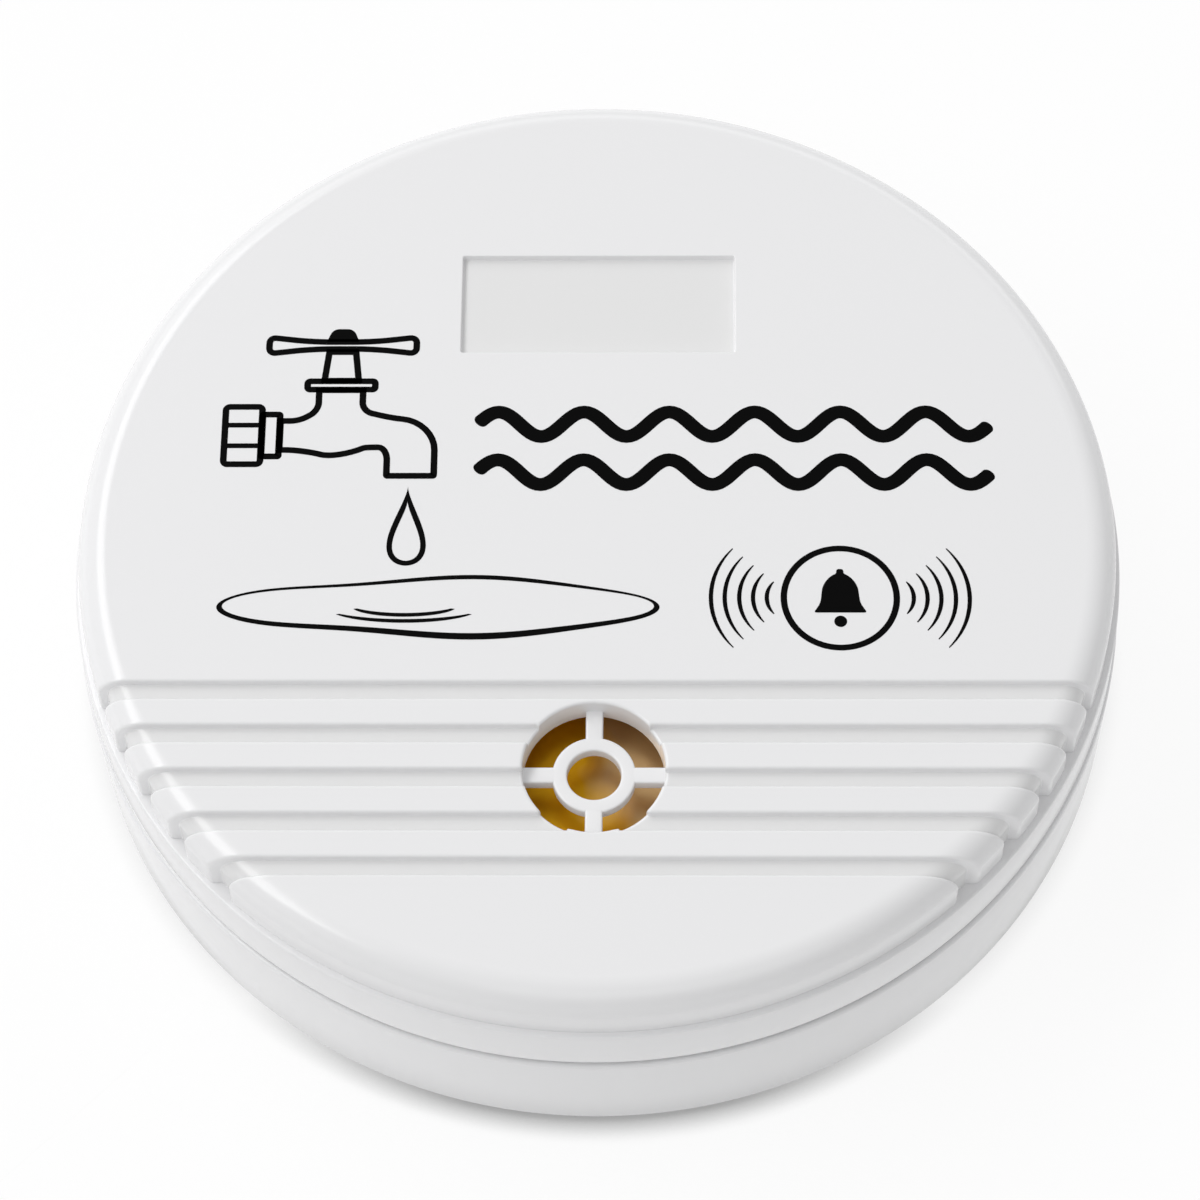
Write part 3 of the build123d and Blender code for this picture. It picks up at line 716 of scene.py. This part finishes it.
def linear(code):
    """A linear colour from an sRGB hex code."""
    parts = [int(code[i:i + 2], 16) / 255 for i in (1, 3, 5)]
    lit = [c / 12.92 if c <= 0.04045 else ((c + 0.055) / 1.055) ** 2.4 for c in parts]
    return (*lit, 1.0)


def node(tree, kind, links=None, **settings):
    """Adds a node, sets its properties and inputs by name, and links inputs to given outputs."""
    made = tree.nodes.new(kind)
    for name, value in settings.items():
        if hasattr(made, name):
            setattr(made, name, value)
        else:
            made.inputs[name.replace("_", " ")].default_value = value
    for name, source in (links or {}).items():
        tree.links.new(source, made.inputs[name])
    return made


def new_material(name, colour):
    """A material with its node tree and its shader, in a colour."""
    material = bpy.data.materials.new(name)
    material.use_nodes = True
    tree = material.node_tree
    shader = tree.nodes["Principled BSDF"]
    shader.inputs["Base Color"].default_value = linear(colour)
    return material, tree, shader


def finish(
    name, colour, roughness, metallic=0.0, grain_mm=1.0, vary=0.04, bump=0.0, patch=None, **more
):
    """A surface with a colour, maybe clouds of a second one, and a grain.

    The grain varies the roughness and, with a bump, lifts the surface. A patch is the second
    colour, the width of its clouds, and the length along X over which it takes over: painted light.
    """
    material, tree, shader = new_material(name, colour)
    shader.inputs["Metallic"].default_value = metallic
    for key, value in more.items():
        shader.inputs[key.replace("_", " ")].default_value = value
    place = node(tree, "ShaderNodeTexCoord").outputs["Object"]
    grain = node(
        tree, "ShaderNodeTexNoise", {"Vector": place},
        Scale=1 / (grain_mm * MM), Detail=GRAIN_DETAIL,
    )
    spread = node(
        tree, "ShaderNodeMapRange", {"Value": grain.outputs["Fac"]},
        To_Min=roughness - vary, To_Max=roughness + vary,
    )
    tree.links.new(spread.outputs["Result"], shader.inputs["Roughness"])
    if patch:
        tone, patch_mm, painted_light_mm = patch
        cloud = node(
            tree, "ShaderNodeTexNoise", {"Vector": place},
            Scale=1 / (patch_mm * MM), Detail=PATCH_DETAIL,
        )
        # The second colour's share grows along X as well as in clouds: painted light, one side
        # drawn paler
        apart = node(tree, "ShaderNodeSeparateXYZ", {"Vector": place})
        clouds_and_painted_light = node(
            tree, "ShaderNodeMath", {0: apart.outputs["X"], 2: cloud.outputs["Fac"]},
            operation="MULTIPLY_ADD",
        )
        clouds_and_painted_light.inputs[1].default_value = 1 / (painted_light_mm * MM)
        tones = node(tree, "ShaderNodeValToRGB", {"Fac": clouds_and_painted_light.outputs[0]})
        for stop, shown, at in zip(tones.color_ramp.elements, (colour, tone), PATCH_STOPS):
            stop.color = linear(shown)
            stop.position = at
        tree.links.new(tones.outputs["Color"], shader.inputs["Base Color"])
    if bump:
        lift = node(
            tree, "ShaderNodeBump", {"Height": grain.outputs["Fac"]},
            Strength=bump, Distance=grain_mm * MM * GRAIN_LIFT,
        )
        tree.links.new(lift.outputs["Normal"], shader.inputs["Normal"])
    return material


# White ABS from a polished mould: an even white with a soft gloss that wanders slightly
abs_white = finish("abs_white_moulded", "#F1F1F2", 0.2, grain_mm=1.2, vary=0.03, IOR=ABS_IOR)
# The same ABS where the mould is spark-eroded: a rougher white, drawn a little greyer, with a fine
# grit, which is a few hundredths of a millimetre wide and is drawn at a quarter of one so that it
# shows
abs_eroded = finish(
    "abs_white_eroded", "#E7E7E7", 0.55, grain_mm=0.25, vary=0.05, bump=0.12, IOR=ABS_IOR
)
# The same ABS on the groove floors, drawn a greyer white as painted shade in the grooves
abs_groove_painted_shade = finish(
    "abs_white_groove_painted_shade", "#E9E9E9", 0.22, grain_mm=0.6, vary=0.04, bump=0.02, IOR=ABS_IOR
)
# Pad-printed ink: a dense, flat black that is almost without gloss
pad_ink = finish(
    "pad_printed_ink", "#0B0B0B", 0.6, grain_mm=0.4, vary=0.06, Specular_IOR_Level=0.02
)

front_cover(abs_white, abs_eroded, abs_groove_painted_shade)
base_case(abs_white)
face_print(pad_ink)

# Finishes of the nodes that stay as they are, with the nodes that have them
NODE_FINISHES = {
    # Zinc-plated steel: a grey metal with a slightly blue, satin skin
    "zinc_plated_steel": (
        dict(colour="#B9BCC0", roughness=0.34, metallic=1.0, grain_mm=0.3, vary=0.08),
        ["battery_door_screw", "case_screws", "board_screws", "probe_nuts"],
    ),
    # Rolled brass: amber yellow with paler tan clouds and a blurred gloss; painted light makes one
    # side tan
    "rolled_brass": (
        dict(
            colour="#E8AC0A", patch=("#DDB680", 5.0, 12.0),
            roughness=0.34, metallic=0.75, grain_mm=2.5, vary=0.08,
        ),
        ["piezo_plate"],
    ),
    # Silver fired on ceramic: a pale, dead-matt grey, its fine grit drawn coarser so that it shows
    "fired_silver": (
        dict(colour="#CFCBC2", roughness=0.6, metallic=0.6, grain_mm=0.2, bump=0.1),
        ["piezo_ceramic"],
    ),
    # Nickel-plated cans of button cells: bright metal with faint scuffs
    "nickel_can": (
        dict(colour="#D2D0CB", roughness=0.24, metallic=1.0, grain_mm=0.8, vary=0.08),
        ["battery_cell_1", "battery_cell_2", "battery_cell_3"],
    ),
    # Nickel-plated spring sheet: a warmer, satin metal
    "nickel_sheet": (
        dict(colour="#C4BFB4", roughness=0.32, metallic=1.0, grain_mm=0.4, vary=0.08),
        ["battery_contact", "battery_spring", "probe_terminal_left", "probe_terminal_right"],
    ),
    # Green solder mask on laminate: a deep green with the weave just lifting it
    "solder_mask": (
        dict(colour="#1F6B35", roughness=0.35, grain_mm=0.6, bump=0.15), ["circuit_board"],
    ),
    # Cast epoxy: black with a dull skin
    "cast_epoxy": (
        dict(colour="#141414", roughness=0.5, grain_mm=0.5, bump=0.08), ["chip_blob", "transistor"],
    ),
    # Sintered ferrite: dark grey and grainy, its fine grain drawn coarser so that it shows
    "sintered_ferrite": (
        dict(colour="#2E2D2C", roughness=0.6, grain_mm=0.15, bump=0.2), ["boost_coil_core"],
    ),
    # Enamelled copper wire: reddish metal under clear lacquer
    "enamelled_copper": (
        dict(colour="#B5602B", roughness=0.3, metallic=1.0, grain_mm=0.2, bump=0.3),
        ["boost_coil_winding"],
    ),
    # Drawn aluminium can: pale satin metal
    "drawn_aluminium": (
        dict(colour="#C9CBCE", roughness=0.3, metallic=1.0, grain_mm=0.4), ["capacitor"],
    ),
    # Lacquered resistor bodies: tan with a soft gloss
    "tan_lacquer": (dict(colour="#C9A777", roughness=0.35, grain_mm=0.3), ["resistors"]),
    # Polished stainless steel: a bright, neutral grey with clear reflections
    "polished_stainless": (
        dict(colour="#CFCFCD", roughness=0.2, metallic=1.0, grain_mm=0.6, vary=0.06),
        ["probe_left", "probe_right"],
    ),
    # PVC insulation in three colours: soft plastic with a satin skin
    "pvc_red": (
        dict(colour="#B3201C", roughness=0.42, grain_mm=0.4),
        ["battery_lead_positive", "piezo_lead_live"],
    ),
    "pvc_black": (
        dict(colour="#1B1B1B", roughness=0.42, grain_mm=0.4),
        ["battery_lead_negative", "piezo_lead_ground"],
    ),
    "pvc_white": (
        dict(colour="#DDDCD6", roughness=0.42, grain_mm=0.4),
        ["probe_lead_left", "probe_lead_right"],
    ),
}


def dress(name, material):
    """Gives a node that stays a finish in every slot."""
    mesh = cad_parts[name].data
    mesh.materials.clear()
    mesh.materials.append(material)


for finish_name, (look, names) in NODE_FINISHES.items():
    made = finish(finish_name, **look)
    for name in names:
        dress(name, made)
dress("battery_door", abs_white)

# Floor
FLOOR_HALF = 4000
FLOOR_COLOUR = "#FAFAFA"
FLOOR_ROUGHNESS = 0.5
FLOOR_GLOW = 0.9
# Painted contact shadow: ambient occlusion within a reach dims the floor's glow, most in front
PAINTED_SHADOW_REACH = 2.0
PAINTED_SHADOW_OPEN = (0.5, 0.95)
PAINTED_SHADOW_LEVEL = 0.35
PAINTED_SHADOW_FULL_Y = -33.5
PAINTED_SHADOW_END_Y = -26.0
PAINTED_SHADOW_SIDE = 0.2
PAINTED_SHADOW_SAMPLES = 16

# Light: each lamp's place, size and power, in metres and watts
WHITE = (1, 1, 1, 1)
WORLD_LEVEL = 0.47
LAMP_AIM = (0, 0, 0.01)
LAMPS = {
    "strip": ((-0.75, 0.25, 1.1), (2.0, 0.5), 11.0),
    "front": ((0.2, -1.1, 1.3), (1.4, 0.8), 2.2),
    "back": ((0.0, 1.3, 0.75), (2.2, 0.45), 3.2),
}

# Camera, from the outlines of the rims in the photograph
CAMERA_TILT = 28.6
CAMERA_SWING = 0.98
CAMERA_LENS = 135.0
CAMERA_SENSOR = 36.0
CAMERA_CLIP = 10.0
CAMERA_DISTANCE = 303.7
CAMERA_RIGHT = 0.14
CAMERA_DOWN = 1.015
AIM_HEIGHT = 10.1


def white_floor():
    """Paper that is white to the camera and in reflections, keeps the object's shadow, and has a
    painted contact shadow.
    """
    bm = bmesh.new()
    bmesh.ops.create_grid(bm, x_segments=1, y_segments=1, size=FLOOR_HALF)
    floor = new_object("floor", bm)
    material, tree, shader = new_material("studio_paper", FLOOR_COLOUR)
    shader.inputs["Roughness"].default_value = FLOOR_ROUGHNESS
    path = node(tree, "ShaderNodeLightPath")
    seen = path.outputs["Is Camera Ray"]
    for ray in ("Is Glossy Ray", "Is Transmission Ray"):
        either = node(
            tree, "ShaderNodeMath", {0: seen, 1: path.outputs[ray]}, operation="MAXIMUM"
        )
        seen = either.outputs[0]
    share = node(tree, "ShaderNodeMath", {0: seen}, operation="MULTIPLY")
    share.inputs[1].default_value = FLOOR_GLOW
    # Close to what stands on it ambient occlusion dims the paper's glow: a painted contact shadow
    near = node(
        tree, "ShaderNodeAmbientOcclusion", samples=PAINTED_SHADOW_SAMPLES, Distance=PAINTED_SHADOW_REACH * MM
    )
    dim = node(
        tree, "ShaderNodeMapRange", {"Value": near.outputs["AO"]},
        From_Min=PAINTED_SHADOW_OPEN[0], From_Max=PAINTED_SHADOW_OPEN[1], To_Min=PAINTED_SHADOW_LEVEL,
    )
    # It dims most in front, where the photograph has its shadow
    place = node(tree, "ShaderNodeTexCoord").outputs["Object"]
    apart = node(tree, "ShaderNodeSeparateXYZ", {"Vector": place})
    front = node(
        tree, "ShaderNodeMapRange", {"Value": apart.outputs["Y"]},
        From_Min=PAINTED_SHADOW_FULL_Y * MM, From_Max=PAINTED_SHADOW_END_Y * MM, To_Min=1.0, To_Max=PAINTED_SHADOW_SIDE,
    )
    level = node(
        tree, "ShaderNodeMix", {"Factor": front.outputs["Result"], "B": dim.outputs["Result"]},
        A=1.0,
    )
    glow = node(tree, "ShaderNodeEmission", {"Strength": level.outputs["Result"]}, Color=WHITE)
    mixed = node(
        tree, "ShaderNodeMixShader",
        {0: share.outputs[0], 1: shader.outputs["BSDF"], 2: glow.outputs["Emission"]},
    )
    tree.links.new(mixed.outputs[0], tree.nodes["Material Output"].inputs["Surface"])
    floor.data.materials.append(material)


def soft_light(name, place, size, power):
    """A soft box that looks at the object."""
    data = bpy.data.lights.new(name, "AREA")
    data.shape = "RECTANGLE"
    data.size, data.size_y = size
    data.energy = power
    lamp = bpy.data.objects.new(name, data)
    lamp.location = place
    lamp.rotation_euler = (Vector(LAMP_AIM) - Vector(place)).to_track_quat("-Z", "Y").to_euler()
    bpy.context.collection.objects.link(lamp)


def studio():
    """An even white surround, dimmer as light than to the camera, and the lamps."""
    world = bpy.data.worlds.new("studio")
    bpy.context.scene.world = world
    world.use_nodes = True
    tree = world.node_tree
    back = tree.nodes["Background"]
    back.inputs["Color"].default_value = WHITE
    path = node(tree, "ShaderNodeLightPath")
    level = node(
        tree, "ShaderNodeMapRange", {"Value": path.outputs["Is Camera Ray"]},
        To_Min=WORLD_LEVEL, To_Max=1.0,
    )
    tree.links.new(level.outputs["Result"], back.inputs["Strength"])
    for name, (place, size, power) in LAMPS.items():
        soft_light(name, place, size, power)


def photo_camera():
    """The camera at the photograph's viewing angle."""
    data = bpy.data.cameras.new("camera")
    data.lens = CAMERA_LENS
    data.sensor_width = CAMERA_SENSOR
    data.clip_start = CAMERA_CLIP * MM
    camera = bpy.data.objects.new("camera", data)
    tilt = Matrix.Rotation(radians(CAMERA_TILT), 4, "X")
    swing = Matrix.Rotation(radians(CAMERA_SWING), 4, "Y")
    aim = Matrix.Translation((0, 0, AIM_HEIGHT * MM))
    offset = Vector((CAMERA_RIGHT, -CAMERA_DOWN, CAMERA_DISTANCE)) * MM
    camera.matrix_world = aim @ tilt @ swing @ Matrix.Translation(offset)
    bpy.context.collection.objects.link(camera)
    bpy.context.scene.camera = camera


white_floor()
studio()
photo_camera()
bpy.context.scene.view_settings.view_transform = "Standard"
